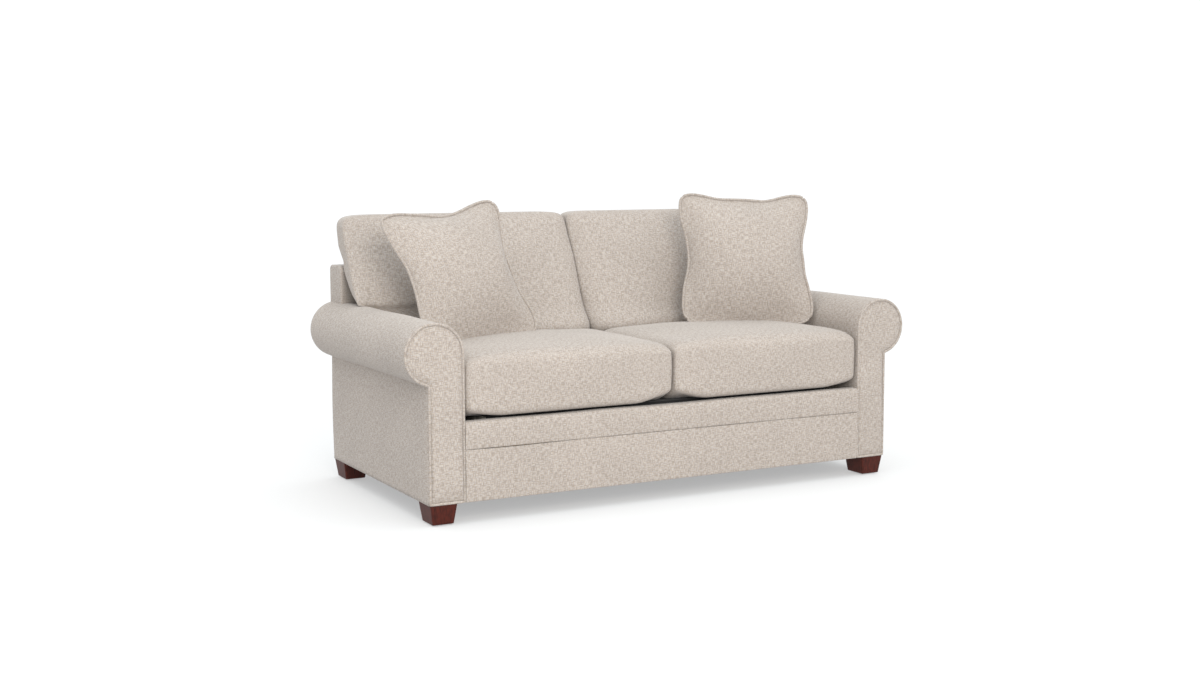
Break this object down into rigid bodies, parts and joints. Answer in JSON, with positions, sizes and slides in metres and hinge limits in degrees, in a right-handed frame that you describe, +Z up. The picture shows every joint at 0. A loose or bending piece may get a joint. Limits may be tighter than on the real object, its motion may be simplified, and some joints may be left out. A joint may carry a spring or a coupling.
{
  "type": "sofa bed",
  "caption": "Rolled-arm two-seat sofa bed with loose seat cushions, throw pillows, tapered block feet and a fold-out steel bed with a foam mattress.",
  "frame": {"origin": "on the floor, at the centre of the closed sofa's footprint", "axes": "+X to the right of someone facing the sofa, +Y from the front to the back, +Z up"},
  "size_m": [1.9678, 0.947, 1.0151],
  "materials": {
    "upholstery": "heathered linen-look weave, matte",
    "hardwood": "raw kiln-dried hardwood",
    "foot_wood": "dark brown-cherry stain, satin",
    "steel": "dark grey satin paint",
    "black_cloth": "black platform cloth, matte",
    "black_plastic": "matte",
    "ticking": "off-white woven ticking, matte"
  },
  "bodies": {
    "sofa_frame": {"arm_frame_left": "hardwood", "arm_frame_right": "hardwood", "arm_cover_left": "upholstery", "arm_cover_right": "upholstery", "arm_panel_left": "upholstery", "arm_panel_right": "upholstery", "arm_welt_left": "upholstery", "arm_welt_right": "upholstery", "back_frame": "hardwood", "back_cover": "upholstery", "back_cushion_left": "upholstery", "back_cushion_right": "upholstery", "rail_board": "hardwood", "rail_band": "upholstery", "rail_panel": "upholstery", "dust_cover": "black_cloth", "foot_front_left": "foot_wood", "foot_front_right": "foot_wood", "foot_rear_left": "foot_wood", "foot_rear_right": "foot_wood", "foot_glides": "black_plastic", "foot_bolts": "steel", "side_board_left": "hardwood", "side_board_right": "hardwood", "bracket_left": "steel", "bracket_right": "steel", "bracket_pins": "steel", "bracket_bolts": "steel"},
    "lift_links_front": {"link_front_left": "steel", "link_front_right": "steel"},
    "lift_links_rear": {"link_rear_left": "steel", "link_rear_right": "steel"},
    "head_section": {"head_frame": "steel", "head_deck": "black_cloth", "head_mattress": "ticking", "head_pins": "steel"},
    "mid_section": {"mid_frame": "steel", "mid_mattress": "ticking"},
    "body_section": {"body_frame": "steel", "body_deck": "black_cloth", "body_mattress": "ticking", "body_pins": "steel"},
    "foot_section": {"foot_frame": "steel", "foot_deck": "black_cloth", "foot_mattress": "ticking", "foot_pins": "steel", "seat_cloth": "black_cloth", "pull_strap": "black_cloth"},
    "body_legs": {"body_leg_left": "steel", "body_leg_right": "steel", "body_leg_caps": "black_plastic"},
    "foot_legs": {"foot_leg_left": "steel", "foot_leg_right": "steel", "foot_leg_caps": "black_plastic"},
    "seat_cushion_left": {"seat_cushion_left": "upholstery"},
    "seat_cushion_right": {"seat_cushion_right": "upholstery"},
    "pillow_left": {"pillow_left": "upholstery", "pillow_welt_left": "upholstery"},
    "pillow_right": {"pillow_right": "upholstery", "pillow_welt_right": "upholstery"}
  },
  "joints": [
    {"name": "bed_unfold", "type": "hinge", "parent": "sofa_frame", "child": "lift_links_front", "pos_m": [0, -0.2235, 0.222], "axis": [1, 0, 0], "range_deg": [0, 180]},
    {"name": "rear_link_swing", "type": "hinge", "parent": "sofa_frame", "child": "lift_links_rear", "pos_m": [0, 0.1135, 0.222], "axis": [1, 0, 0], "range_deg": [0, 180]},
    {"name": "head_section_level", "type": "hinge", "parent": "lift_links_front", "child": "head_section", "pos_m": [0, -0.2235, 0.087], "axis": [-1, 0, 0], "range_deg": [0, 180]},
    {"name": "mid_section_fold", "type": "hinge", "parent": "head_section", "child": "mid_section", "pos_m": [0, -0.4075, 0.087], "axis": [1, 0, 0], "range_deg": [0, 90]},
    {"name": "body_section_fold", "type": "hinge", "parent": "mid_section", "child": "body_section", "pos_m": [0, -0.4075, 0.229], "axis": [1, 0, 0], "range_deg": [0, 90]},
    {"name": "foot_section_fold", "type": "hinge", "parent": "body_section", "child": "foot_section", "pos_m": [0, 0.1115, 0.245], "axis": [-1, 0, 0], "range_deg": [0, 180]},
    {"name": "body_leg_swing", "type": "hinge", "parent": "body_section", "child": "body_legs", "pos_m": [0, 0.0715, 0.229], "axis": [-1, 0, 0], "range_deg": [0, 90]},
    {"name": "foot_leg_swing", "type": "hinge", "parent": "foot_section", "child": "foot_legs", "pos_m": [0, -0.3635, 0.259], "axis": [-1, 0, 0], "range_deg": [0, 90]},
    {"name": "seat_cushion_left_lift", "type": "slide", "parent": "foot_section", "child": "seat_cushion_left", "axis": [0, 0, 1], "range_m": [0, 0.45]},
    {"name": "seat_cushion_right_lift", "type": "slide", "parent": "foot_section", "child": "seat_cushion_right", "axis": [0, 0, 1], "range_m": [0, 0.45]},
    {"name": "pillow_left_lift", "type": "slide", "parent": "seat_cushion_left", "child": "pillow_left", "axis": [0, 0, 1], "range_m": [0, 0.35]},
    {"name": "pillow_right_lift", "type": "slide", "parent": "seat_cushion_right", "child": "pillow_right", "axis": [0, 0, 1], "range_m": [0, 0.35]}
  ],
  "couplings": [
    {"joint": "rear_link_swing", "follows": "bed_unfold", "ratio": 1},
    {"joint": "head_section_level", "follows": "bed_unfold", "ratio": 1},
    {"joint": "mid_section_fold", "follows": "bed_unfold", "ratio": 0.5},
    {"joint": "body_section_fold", "follows": "bed_unfold", "ratio": 0.5},
    {"joint": "foot_section_fold", "follows": "bed_unfold", "ratio": 1},
    {"joint": "body_leg_swing", "follows": "bed_unfold", "ratio": 0.5},
    {"joint": "foot_leg_swing", "follows": "bed_unfold", "ratio": 0.5}
  ]
}
